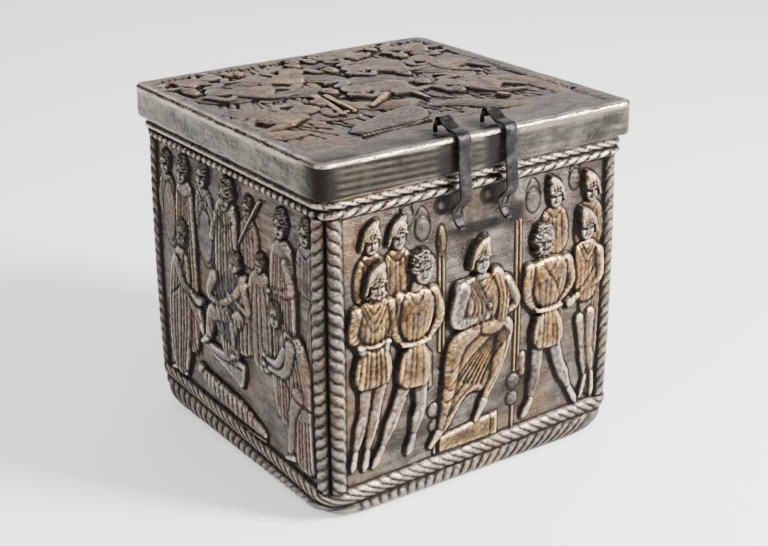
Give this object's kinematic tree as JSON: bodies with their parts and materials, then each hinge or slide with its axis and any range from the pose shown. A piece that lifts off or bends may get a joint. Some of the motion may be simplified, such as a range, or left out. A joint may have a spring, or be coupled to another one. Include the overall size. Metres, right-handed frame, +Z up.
{
  "type": "reliquary casket",
  "caption": "Square silver-gilt box with figure reliefs on all sides, rope mouldings and a loose cap lid held by two iron hasps.",
  "frame": {"origin": "on the ground, under the middle of the whole with its hasps", "axes": "+Z up, the front with the hasps faces -Y, +X to the right as seen from the front"},
  "size_m": [0.206, 0.2064, 0.2097],
  "materials": {
    "silver_gilt": "tarnished silver, worn gilding on the figures' clothes, dark in the hollows",
    "lid_silver": "tarnished grey-brown silver with scratches and traces of gilding",
    "dark_iron": "blackened forged iron"
  },
  "bodies": {
    "casket": {"casket_box": "silver_gilt", "casket_lid": "lid_silver", "lid_staple_left": "dark_iron", "lid_staple_right": "dark_iron", "front_staple_left": "dark_iron", "front_staple_right": "dark_iron"},
    "left_hasp": {"hasp_left": "dark_iron"},
    "right_hasp": {"hasp_right": "dark_iron"}
  },
  "joints": [
    {"name": "left_hasp_turn", "type": "hinge", "parent": "casket", "child": "left_hasp", "pos_m": [-0.017, -0.08231, 0.2068], "axis": [-1, 0, 0], "range_deg": [0, 150]},
    {"name": "right_hasp_turn", "type": "hinge", "parent": "casket", "child": "right_hasp", "pos_m": [0.0135, -0.08231, 0.2068], "axis": [-1, 0, 0], "range_deg": [0, 150]}
  ]
}
